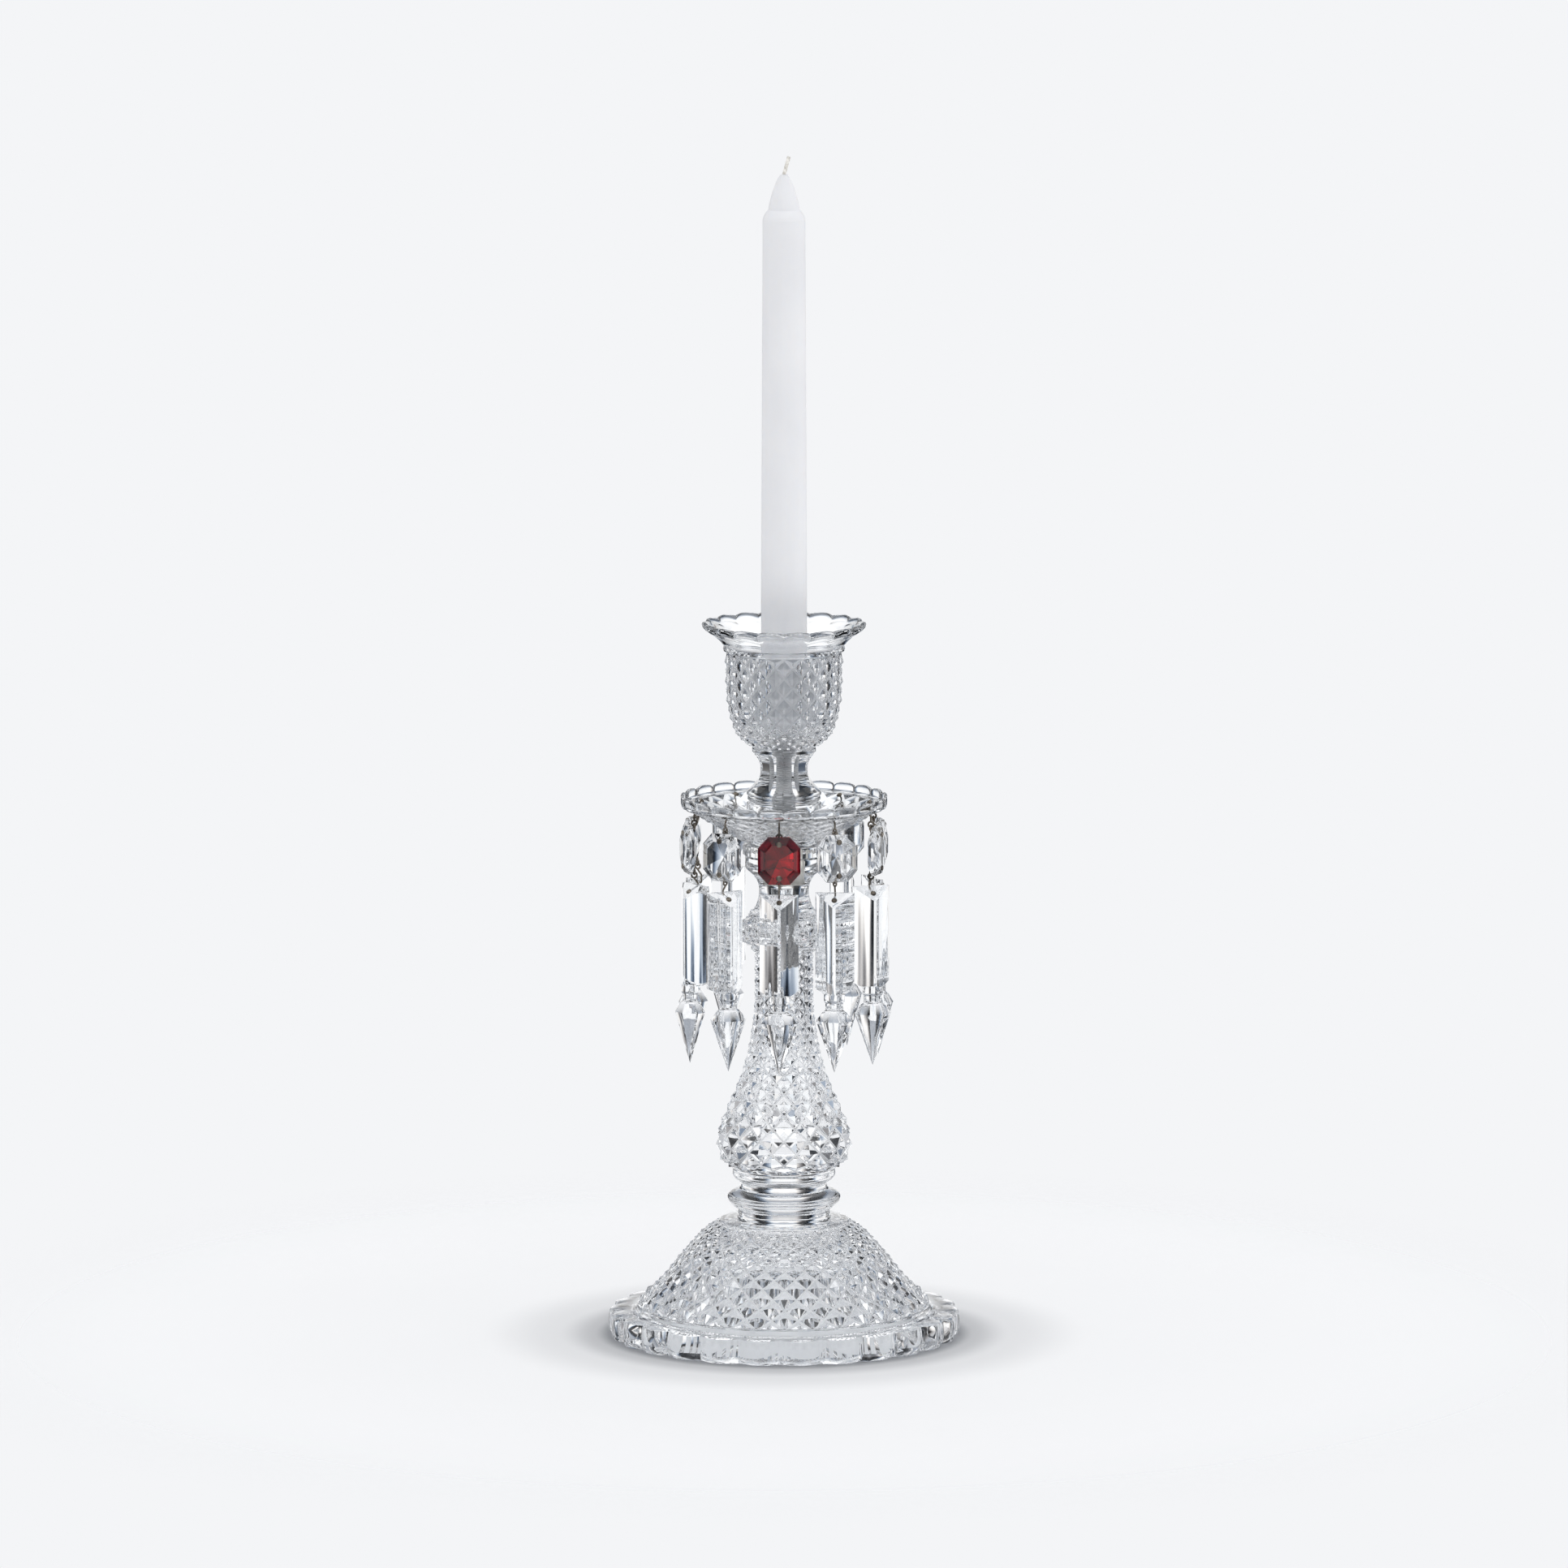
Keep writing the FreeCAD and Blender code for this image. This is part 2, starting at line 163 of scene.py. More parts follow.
def spline(points, step):
    """Points along a smooth curve through (radius, height) pairs, about one step apart."""
    p = [Vector(q) for q in points]
    p = [2 * p[0] - p[1]] + p + [2 * p[-1] - p[-2]]
    out = [p[1]]
    for a, b, c, d in zip(p, p[1:], p[2:], p[3:]):
        count = max(1, round((c - b).length / step))
        for i in range(1, count + 1):
            t = i / count
            out.append(0.5 * (2 * b + (c - a) * t + (2 * a - 5 * b + 4 * c - d) * t * t
                              + (3 * b - a - 3 * c + d) * t ** 3))
    return out


class Skin:
    """A turned surface made ring by ring, each ring joined to the one before."""

    def __init__(self):
        self.bm = bmesh.new()
        self.first = None
        self.last = None

    def add(self, points):
        return [self.bm.verts.new(p * MM) for p in points]

    def face(self, *corners, slot=0):
        if len(set(corners)) > 2:
            self.bm.faces.new(corners).material_index = slot

    def join(self, low, high):
        """Faces between two rings that both run round by rising angle, whatever their counts."""
        if len(low) == len(high):
            for i in range(len(low)):
                j = (i + 1) % len(low)
                self.face(low[i], low[j], high[j], high[i])
            return
        i = j = 0
        while i < len(low) or j < len(high):
            next_low = (i + 1) / len(low) if len(low) > 1 else 2
            next_high = (j + 1) / len(high) if len(high) > 1 else 2
            a, b = low[i % len(low)], high[j % len(high)]
            if j >= len(high) or (i < len(low) and next_low <= next_high):
                self.face(a, low[(i + 1) % len(low)], b)
                i += 1
            else:
                self.face(a, high[(j + 1) % len(high)], b)
                j += 1
            if len(low) == 1 and j >= len(high) or len(high) == 1 and i >= len(low):
                return

    def ring(self, points):
        fresh = self.add(points)
        if self.last:
            self.join(self.last, fresh)
        self.first = self.first or fresh
        self.last = fresh
        return fresh

    def tip(self, height):
        self.ring([Vector((0, 0, height))])

    def circle(self, radius, height, count=ROUND):
        self.ring([polar(radius, 2 * math.pi * i / count, height) for i in range(count)])

    def circles(self, pairs, count=ROUND):
        for radius, height in pairs:
            self.circle(radius, height, count)

    def shaped(self, shape, height, count):
        """A ring whose radius (and rise above height) follow the angle."""
        points = []
        for i in range(count):
            angle = 2 * math.pi * i / count
            radius, rise = shape(angle)
            points.append(polar(radius, angle, height + rise))
        self.ring(points)

    def diamonds(self, outline, number, aspect, depth, phase, inset=0.12):
        """A band of diamond-cut pyramids whose tips touch the outline, with half pyramids in its end rows.

        There are number round the band. Aspect is a pyramid's height over its width, depth its depth over its
        width, and inset the share of it that the cuts take. The cuts get the second material."""
        path = spline(outline, BAND_STEP)
        lengths = [0.0]
        for a, b in zip(path, path[1:]):
            lengths.append(lengths[-1] + (b - a).length)
        marks = [0.0]
        k = 0
        while marks[-1] < lengths[-1]:
            while k < len(path) - 1 and lengths[k] < marks[-1]:
                k += 1
            marks.append(marks[-1] + aspect * math.pi * path[k].x / number)
        if marks[-1] - lengths[-1] > lengths[-1] - marks[-2]:
            marks.pop()
        marks = [m * lengths[-1] / marks[-1] for m in marks]
        rows = len(marks) - 1
        end_depth = 0.35  # how far a half pyramid's tip is set in, over the full depth

        def at(mark):
            """The spot and the outward normal that far along the outline."""
            i = 1
            while i < len(path) - 1 and lengths[i] < mark:
                i += 1
            t = (mark - lengths[i - 1]) / (lengths[i] - lengths[i - 1])
            along = (path[i] - path[i - 1]).normalized()
            return path[i - 1].lerp(path[i], t), Vector((along.y, -along.x))

        def deep(spot):
            return depth * 2 * math.pi * spot.x / number

        base, tips = [], []
        for j, mark in enumerate(marks):
            spot, normal = at(mark)
            low = spot - normal * deep(spot)
            base.append(self.add([polar(low.x, phase + math.pi * i / number, low.y)
                                  for i in range(2 * number)]))
            tips.append(spot)

        def peak(j, angle):
            """The tip of a pyramid, which in an end row leans a third of the way into the band."""
            if 0 < j < rows:
                return polar(tips[j].x, angle, tips[j].y) * MM
            inward = marks[1] if j == 0 else marks[rows - 1]
            spot, normal = at(marks[j] + (inward - marks[j]) / 3)
            return polar(spot.x - end_depth * deep(spot) * normal.x, angle, spot.y) * MM

        def pyramid(corners, top):
            middle = sum((c.co for c in corners), Vector()) / len(corners)
            inner = [self.bm.verts.new(c.co.lerp(middle, inset)) for c in corners]
            tip = self.bm.verts.new(top)
            for a in range(len(corners)):
                b = (a + 1) % len(corners)
                self.face(corners[a], corners[b], inner[b], inner[a], slot=1)
                self.face(inner[a], inner[b], tip)

        for j in range(rows + 1):
            for i in range(j % 2, 2 * number, 2):
                left, right = base[j][i - 1], base[j][(i + 1) % (2 * number)]
                below, above = base[max(j - 1, 0)][i], base[min(j + 1, rows)][i]
                pyramid([left, below, right, above], peak(j, phase + math.pi * i / number))
        for j in range(1, rows):
            for spare in base[j][j % 2::2]:
                self.bm.verts.remove(spare)
        self.join(self.last, base[0])
        self.last = base[rows]

    def close(self):
        self.join(self.last, self.first)

    def piece(self, name, material, body, node, cut=None):
        """The finished mesh, shown in the node's place. Its cuts may have a material of their own."""
        bmesh.ops.recalc_face_normals(self.bm, faces=self.bm.faces)
        mesh = bpy.data.meshes.new(name)
        self.bm.to_mesh(mesh)
        self.bm.free()
        mesh.polygons.foreach_set("use_smooth", [True] * len(mesh.polygons))
        mesh.set_sharp_from_angle(angle=SHARP_ANGLE)
        piece = bpy.data.objects.new(name, mesh)
        bpy.context.scene.collection.objects.link(piece)
        mesh.materials.append(material)
        mesh.materials.append(cut or material)
        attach(piece, body)
        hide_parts(node)
        return piece


def frame_slot(node):
    """The material slot that the record gives a node."""
    for part in frame["record"]["subparts"]:
        if part["node"] == node:
            return part["material_slot"]
    raise ValueError(node)


# Materials
def new_material(name, **values):
    material = bpy.data.materials.new(name)
    material.use_nodes = True
    shader = material.node_tree.nodes["Principled BSDF"]
    for socket, value in values.items():
        shader.inputs[socket.replace("_", " ")].default_value = value
    return material, material.node_tree, shader


def object_noise(tree, scale, detail, stretch=(1.0, 1.0, 1.0)):
    """A noise between 0 and 1 that is fixed to the object."""
    where = tree.nodes.new("ShaderNodeTexCoord")
    mapping = tree.nodes.new("ShaderNodeMapping")
    mapping.inputs["Scale"].default_value = stretch
    noise = tree.nodes.new("ShaderNodeTexNoise")
    noise.inputs["Scale"].default_value = scale
    noise.inputs["Detail"].default_value = detail
    tree.links.new(where.outputs["Object"], mapping.inputs["Vector"])
    tree.links.new(mapping.outputs["Vector"], noise.inputs["Vector"])
    return noise.outputs["Fac"]


def noise_bump(tree, shader, scale, distance, detail=3.0, stretch=(1.0, 1.0, 1.0)):
    """Fine unevenness, distance metres high."""
    bump = tree.nodes.new("ShaderNodeBump")
    bump.inputs["Distance"].default_value = distance
    tree.links.new(object_noise(tree, scale, detail, stretch), bump.inputs["Height"])
    tree.links.new(bump.outputs["Normal"], shader.inputs["Normal"])


def noise_colour(tree, shader, scale, dark, light):
    """A patchy colour between two tones."""
    ramp = tree.nodes.new("ShaderNodeValToRGB")
    for stop, place, tone in zip(ramp.color_ramp.elements, (0.35, 0.65), (dark, light)):
        stop.position = place
        stop.color = (*tone, 1)
    tree.links.new(object_noise(tree, scale, 6.0), ramp.inputs["Fac"])
    tree.links.new(ramp.outputs["Color"], shader.inputs["Base Color"])


def crystal(name, index, roughness=0.0, tint=CLEAR, scale=60.0, wave=0.00003, stretch=(1.0, 1.0, 1.0)):
    """Cut glass. Its polish leaves faint waves, which stretch may draw out along a side."""
    material, tree, shader = new_material(
        name, Base_Color=tint, Transmission_Weight=1.0, IOR=index, Roughness=roughness)
    noise_bump(tree, shader, scale, wave, 1.0, stretch)
    return material


def wax():
    material, tree, shader = new_material(
        "wax", Roughness=0.42, Subsurface_Weight=0.35, Subsurface_Scale=0.006, IOR=1.44)
    shader.inputs["Subsurface Radius"].default_value = (1.0, 0.9, 0.8)
    noise_colour(tree, shader, 25.0, (0.77, 0.775, 0.795), (0.81, 0.815, 0.83))
    noise_bump(tree, shader, 90.0, 0.00008)
    return material


def pin_metal():
    material, tree, shader = new_material("pin_metal", Metallic=1.0, Roughness=0.32)
    noise_colour(tree, shader, 140.0, (0.07, 0.06, 0.05), (0.34, 0.30, 0.25))
    return material


def nickel(name, roughness, tone=1.0):
    dark = [tone * c for c in (0.74, 0.745, 0.76)]
    light = [tone * c for c in (0.84, 0.845, 0.85)]
    material, tree, shader = new_material(name, Metallic=1.0, Roughness=roughness)
    noise_colour(tree, shader, 60.0, dark, light)
    noise_bump(tree, shader, 900.0, 0.00002)
    return material


def brass():
    material, tree, shader = new_material("turned_brass", Metallic=1.0, Roughness=0.3)
    noise_colour(tree, shader, 80.0, (0.74, 0.71, 0.64), (0.84, 0.81, 0.75))
    return material


def clear_plastic():
    material, tree, shader = new_material(
        "clear_plastic", Base_Color=(0.95, 0.96, 0.97, 1), Transmission_Weight=1.0, IOR=1.45, Roughness=0.08)
    noise_bump(tree, shader, 300.0, 0.00002)
    return material


def cotton():
    material, tree, shader = new_material("waxed_cotton", Roughness=0.75)
    noise_colour(tree, shader, 700.0, (0.50, 0.48, 0.44), (0.90, 0.88, 0.83))
    noise_bump(tree, shader, 1500.0, 0.0002)
    return material


CRYSTAL = crystal("crystal", CRYSTAL_INDEX)
SATIN_CRYSTAL = crystal("satin_crystal", CRYSTAL_INDEX, SATIN)
GROUND_CRYSTAL = crystal("ground_crystal", CRYSTAL_INDEX, GROUND)
HEAVY_CRYSTAL = crystal("heavy_crystal", PENDANT_INDEX, scale=170.0, wave=0.00035, stretch=(1.0, 1.0, 0.06))
RUBY = crystal("ruby_crystal", CRYSTAL_INDEX, tint=BRIGHT_RUBY)
# A darker ruby glass that paints shade onto facets picked by the way they face.
PAINTED_SHADE_RUBY = crystal("painted_shade_ruby_crystal", CRYSTAL_INDEX, tint=PAINTED_SHADE_RUBY_TINT)
WAX = wax()
PIN = pin_metal()
NICKEL = nickel("satin_nickel", 0.3)
# The bolt uses the socket's nickel, a little rougher and toned darker.
BOLT_NICKEL = nickel("dull_darker_nickel", 0.34, 0.72)
BRASS = brass()
PLASTIC = clear_plastic()
COTTON = cotton()


def lobes(crest, cusp, number, phase=0.0):
    """A radius that runs round convex lobes."""
    def shape(angle):
        t = ((angle - phase) * number / (2 * math.pi)) % 1.0 * 2 - 1
        return crest - (crest - cusp) * t * t, 0.0
    return shape


def foot():
    """A hollow dome on a lobed plate. The inner wall of its ring has a fine comb."""
    plate = FOOT_PLATE
    count = FOOT_LOBES * 16
    skin = Skin()
    skin.tip(47.6)
    skin.circle(11, 47.6)
    skin.circles(spline([(22, 47.0), (31, 45), (40.5, 38.6), (48.5, 29.5), (57, 20.5), (64.6, 12.4)], 2.5))
    for radius, height, comb in ((65.4, 11.0, 0.0), (66.2, 9.0, COMB), (67.7, 2.0, COMB), (68.4, 0.8, 0.0)):
        skin.ring([polar(radius - comb * (i % 2), 2 * math.pi * i / count, height) for i in range(count)])
    skin.circle(69.0, 0.0)
    for inward, height in ((2.2, 0.0), (1.0, 0.3), (0.5, 1.2), (0.15, 3.0), (0.0, plate / 2),
                           (0.15, plate - 3.0), (0.5, plate - 1.2), (1.0, plate - 0.3), (2.2, plate)):
        skin.shaped(lobes(FOOT_CREST - inward, FOOT_CUSP - inward, FOOT_LOBES, FOOT_TURN), height, count)
    skin.circles([(76, plate + 0.15), (73.2, plate + 0.3), (72.0, plate + 0.8), (71.4, plate + 1.8),
                  (70.8, plate + 3.0), (70.3, plate + 3.2)])
    skin.diamonds([(71.6, plate + 3.2), (70.3, 17.4), (66, 21.2), (58.8, 27.7), (53.1, 35.2), (46.7, 42.7),
                   (40.2, 49.9), (35.5, 53.2), (32.0, 55.2)], FOOT_DIAMONDS, 0.9, 0.16, math.radians(-5.3))
    skin.circles([(31.6, 55.4), (31.0, 55.9), (30.2, FOOT_TOP), (15, FOOT_TOP)])
    skin.tip(FOOT_TOP)
    return skin.piece("cut_foot", CRYSTAL, "stand", "foot", GROUND_CRYSTAL)


def stem():
    """From the bottom: collar, pointed ring, baluster, small ring, knop, rings, trumpet and fluted drum."""
    base = STEM_BASE
    skin = Skin()
    skin.tip(base)
    skin.circles([(12, base), (22.0, base), (22.6, base + 0.4), (22.7, 57.4), (22.0, 58.1), (21.9, 58.9),
                  (22.3, 59.5), (22.2, 60.4), (22.0, 61.2)])
    skin.circles(spline([(23.0, 62.0), (25.0, 63.4), (26.8, 65.6), (27.3, 67.1), (26.9, 68.4), (24.6, 70.2),
                         (21.6, 71.4)], 0.5))
    skin.circles([(20.8, 72.2), (20.6, 73.6), (20.9, 74.6)])
    skin.circles(spline([(21.6, 75.2), (23.6, 76.4), (24.8, 78.0), (24.9, 79.6), (24.9, 81.0)], 0.5))
    skin.circles([(25.0, 81.6), (25.6, 82.1)])
    skin.diamonds([(27.6, 82.4), (30.6, 84.6), (32.2, 88.5), (33.0, 94), (32.2, 100.5), (29.8, 106.6),
                   (27.0, 113), (24.2, 119.5), (21.4, 126), (19.0, 134), (16.9, 143), (15.2, 154), (14.4, 165),
                   (14.3, 176), (14.3, 187.2)], STEM_DIAMONDS, 1.03, 0.17, 0.0)
    skin.circles([(13.6, 187.3), (15.2, 187.5), (16.0, 188.2), (16.0, 189.2), (15.4, 189.9), (15.4, 190.4)])
    skin.diamonds([(18.2, 190.6), (21.4, 192.3), (22.9, 195.0), (23.05, 197), (22.9, 199), (21.4, 201.8),
                   (18.2, 203.4)], STEM_DIAMONDS, 1.03, 0.13, 0.0)
    skin.circles([(15.6, 203.6), (16.4, 204.0), (17.2, 204.6), (17.2, 205.2), (16.4, 205.7), (16.6, 206.2),
                  (16.2, 206.8)])
    skin.circles(spline([(15.2, 207.3), (13.6, 209.6), (12.4, 213.5), (12.1, 217.5), (12.9, 221.2),
                         (14.6, 224.0), (17.0, 226.3), (18.5, 227.9), (18.75, 230.0), (18.75, 233.4)], 0.6))
    skin.circle(18.4, 234.1)

    def flutes(angle):
        return 19.55 + 0.3 * abs(math.sin(angle * DRUM_WAVES)), 0.0

    for height in (234.7, 235.2, 237.0, 238.8):
        skin.shaped(flutes, height, DRUM_WAVES * 12)
    skin.circles([(19.2, STEM_TOP - 0.1), (12, STEM_TOP), (BUSH_BORE, STEM_TOP), (BUSH_BORE, 230),
                  (BUSH_BORE, BUSH_FLOOR)])
    skin.tip(BUSH_FLOOR)
    return skin.piece("cut_stem", CRYSTAL, "stand", "stem", GROUND_CRYSTAL)


def pan():
    """A shallow dish with a diamond-cut underside, a scalloped wall and a hub for the bolt."""
    base = PAN_BASE
    number = PAN_LOBES
    skin = Skin()
    skin.circles([(BORE, HUB_TOP), (BORE, 250.0), (BORE, base), (12, base), (18.6, base), (19.2, base + 0.3)])
    skin.diamonds([(20.2, 240.8), (29.0, 245.9), (38.0, 251.2), (47.3, 256.8)], number, 1.05, 0.10, 0.0)

    def wall(out, depth, rise, drop):
        """Lobes that bulge outwards by depth and whose tops arch by drop."""
        def shape(angle):
            t = (angle * number / (2 * math.pi)) % 1.0 * 2 - 1
            arch = math.sqrt(max(0.0, 1 - t * t))
            return out - (1 - arch) * depth, rise - (1 - arch) * drop
        return shape

    skin.circle(47.5, 256.9, 4 * number)
    for out, depth, rise, drop in ((48.4, 0.3, 0.0, 0.0), (49.2, 0.6, 0.4, 0.0), (49.7, 0.9, 1.2, 0.1),
                                   (49.9, 1.0, 2.4, 0.4), (49.9, 0.9, 4.2, 1.2), (49.9, 0.8, 5.3, 1.6),
                                   (49.7, 0.7, 5.8, 1.7), (49.3, 0.6, 6.05, 1.75), (48.9, 0.5, 6.05, 1.75),
                                   (48.5, 0.4, 5.8, 1.7), (48.3, 0.3, 5.2, 1.5), (48.2, 0.1, 3.6, 0.8),
                                   (48.1, 0.0, 2.4, 0.2)):
        skin.shaped(wall(out, depth, rise, drop), 257.2, 12 * number)
    skin.circles([(47.7, 259.0), (47.0, 258.6), (45.4, 258.5)])
    skin.circles(spline([(43.4, 258.4), (36, 254.0), (28, 249.2), (22.4, 246.0)], 3.0))
    skin.circles([(20.2, 245.2), (18.6, 245.9), (18.0, 247.6), (18.0, 254), (18.0, 259.2), (17.2, HUB_TOP),
                  (10, HUB_TOP)])
    skin.close()
    return skin.piece("cut_pan", CRYSTAL, "stand", "pan", SATIN_CRYSTAL)


def cup():
    """A domed foot, a neck with flats, a diamond-cut bowl, a bead and a flared lip with lobes."""
    base = CUP_BASE
    skin = Skin()
    skin.circles([(BORE, CUP_FLOOR), (BORE, 276), (BORE, base), (12, base), (17.0, base), (17.6, base + 0.5),
                  (17.6, base + 1.4), (17.2, base + 1.8)])

    def flat_sided(radius, share):
        """A round ring pressed towards a polygon by share."""
        half = math.pi / CUP_FLATS

        def shape(angle):
            a = (angle + half) % (2 * half) - half
            return radius * (1 - share + share * math.cos(half) / math.cos(a)), 0.0
        return shape

    def lip(radius, drop):
        """Lobes whose cusps lie drop further in, and a little lower."""
        def shape(angle):
            t = (angle * LIP_LOBES / (2 * math.pi)) % 1.0 * 2 - 1
            return radius - drop * t * t, -LIP_DROP * drop * t * t
        return shape

    neck = spline([(17.9, 263.6), (17.8, 265.0), (16.0, 267.4), (13.6, 270.4), (12.5, 273.2), (12.2, 276.2),
                   (12.6, 279.4), (13.8, 281.8), (15.3, 283.6)], 0.8)
    for p in neck:
        share = min(1.0, max(0.0, (p.y - 264.5) / 4.0))
        skin.shaped(flat_sided(p.x, share), p.y, CUP_FLATS * 16)
    skin.circles([(15.2, 284.2), (15.4, 284.6), (15.4, 286.0), (15.1, 286.4)])
    skin.diamonds([(16.4, 286.7), (19.8, 289.3), (23.0, 292.3), (25.2, 297.0), (26.6, 302.5), (27.8, 308.5),
                   (28.3, 315.5), (28.5, 324), (28.7, 332.6)],
                  CUP_DIAMONDS, 1.09, 0.16, math.radians(9.0), inset=0.16)
    skin.circles([(28.5, 333.0), (29.2, 333.5), (29.4, 334.4), (29.2, 335.3), (28.6, 335.7)])
    crest = spline([(28.9, 336.0), (30.4, 337.2), (32.3, 339.2), (35.0, 341.4), (38.0, 343.4), (39.3, 345.0),
                    (39.5, 346.0), (39.1, 346.8), (38.2, 347.1), (36.8, 346.6), (35.2, 345.4), (33.0, 343.4),
                    (30.4, 341.0), (28.0, 338.4)], 0.8)
    for i, p in enumerate(crest):
        share = min(1.0, max(0.0, (p.x - 30.0) / 8.0))
        outer = i < len(crest) * 0.55
        skin.shaped(lip(p.x, share * (2.0 if outer else 1.0)), p.y, LIP_LOBES * 12)
    skin.circles(spline([(27.0, 336.4), (26.2, 333.0), (25.9, 325), (25.6, 314), (24.9, 305.5), (23.0, 299.4),
                         (19.6, 295.0), (15.5, 292.6)], 2.0))
    skin.circles([(14.0, CUP_FLOOR), (9, CUP_FLOOR)])
    skin.close()
    return skin.piece("cut_cup", CRYSTAL, "stand", "cup", GROUND_CRYSTAL)


def bolt():
    """The long bolt with its rolled thread."""
    top = BOLT_SEAT + BOLT_HEAD
    skin = Skin()
    skin.tip(BOLT_BOTTOM)
    skin.circle(3.0, BOLT_BOTTOM, BOLT_ROUND)
    turns = int((BOLT_SEAT - 1.0 - BOLT_BOTTOM) / THREAD_PITCH)
    round_once = [i / BOLT_ROUND for i in range(BOLT_ROUND)]
    for k in range(turns):
        for share, radius in ((0.0, THREAD_ROOT), (0.5, THREAD_CREST)):
            height = BOLT_BOTTOM + 0.6 + THREAD_PITCH * (k + share)
            skin.ring([polar(radius, 2 * math.pi * t, height + THREAD_PITCH * 0.5 * (t - 0.5))
                       for t in round_once])
    skin.circles([(THREAD_CREST, BOLT_SEAT - 0.2), (THREAD_CREST, BOLT_SEAT), (6.2, BOLT_SEAT),
                  (6.5, BOLT_SEAT + 0.3), (6.5, top - 0.3), (6.2, top), (3, top)], BOLT_ROUND)
    skin.tip(top)
    return skin.piece("threaded_bolt", BOLT_NICKEL, "stand", "socket_bolt")


def softened(node, material, deep):
    """A copy of a faceted CAD node with its edges polished off, shown in the node's place. The bevels and some
    of the back facets, picked by the way they face, get the deep material, which paints shade onto them."""
    source = frame["nodes"][node]
    bm = bmesh.new()
    bm.from_mesh(source.data)
    bm.transform(source.matrix_world)
    bmesh.ops.remove_doubles(bm, verts=bm.verts, dist=0.002 * MM)
    bmesh.ops.dissolve_limit(bm, angle_limit=math.radians(2), verts=bm.verts, edges=bm.edges)
    edges = [e for e in bm.edges
             if e.is_manifold and e.calc_face_angle() > math.radians(12) and e.calc_length() > 1.2 * MM]
    bmesh.ops.bevel(bm, geom=edges, offset=POLISH * MM, segments=2, profile=0.5, affect="EDGES",
                    clamp_overlap=True)
    # Painted shade: back facets that face left or up, and bevels towards the front that don't face down, get
    # the darker second material.
    for face in bm.faces:
        across, outward, up = face.normal
        behind = 0.2 < outward < 0.99 and (across < -0.1 or up > 0.2)
        bevel = -0.99 < outward < -0.1 and up > -0.3
        if behind or bevel:
            face.material_index = 1
    mesh = bpy.data.meshes.new("polished_" + node)
    bm.to_mesh(mesh)
    bm.free()
    mesh.polygons.foreach_set("use_smooth", [True] * len(mesh.polygons))
    mesh.set_sharp_from_angle(angle=math.radians(18))
    copy = bpy.data.objects.new("polished_" + node, mesh)
    bpy.context.scene.collection.objects.link(copy)
    mesh.materials.append(material)
    mesh.materials.append(deep)
    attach(copy, body_of(source)[0])
    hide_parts(node)


def carried_nodes():
    """CAD nodes that show as they are get their materials, octagons and prisms their polished copies."""
    plain = {"stem_bush": BRASS, "pan_washer_lower": PLASTIC, "pan_washer_upper": PLASTIC,
             "candle_socket": NICKEL, "candle": WAX, "wick": COTTON, "pan_pins": PIN}
    for node, shown in frame["nodes"].items():
        material = plain.get(node)
        if node.startswith(("octagon_pins", "prism_pin")):
            material = PIN
        elif node.startswith(("octagon", "prism")):
            red = frame_slot(node) == "red_crystal"
            # Red glass gets painted shade on some facets; clear glass has the same material on all of them.
            softened(node, RUBY if red else HEAVY_CRYSTAL, PAINTED_SHADE_RUBY if red else HEAVY_CRYSTAL)
        if material:
            shown.data.materials.clear()
            shown.data.materials.append(material)


def maths(tree, operation, *values):
    """A math node fed with numbers or other nodes' outputs."""
    node = tree.nodes.new("ShaderNodeMath")
    node.operation = operation
    for socket, value in zip(node.inputs, values):
        if isinstance(value, (int, float)):
            socket.default_value = value
        else:
            tree.links.new(value, socket)
    return node.outputs[0]


def ease(tree, value, low, high):
    """0 below low, 1 above high and smooth between them."""
    node = tree.nodes.new("ShaderNodeMapRange")
    node.interpolation_type = "SMOOTHSTEP"
    node.inputs["From Min"].default_value = low
    node.inputs["From Max"].default_value = high
    tree.links.new(value, node.inputs["Value"])
    return node.outputs["Result"]


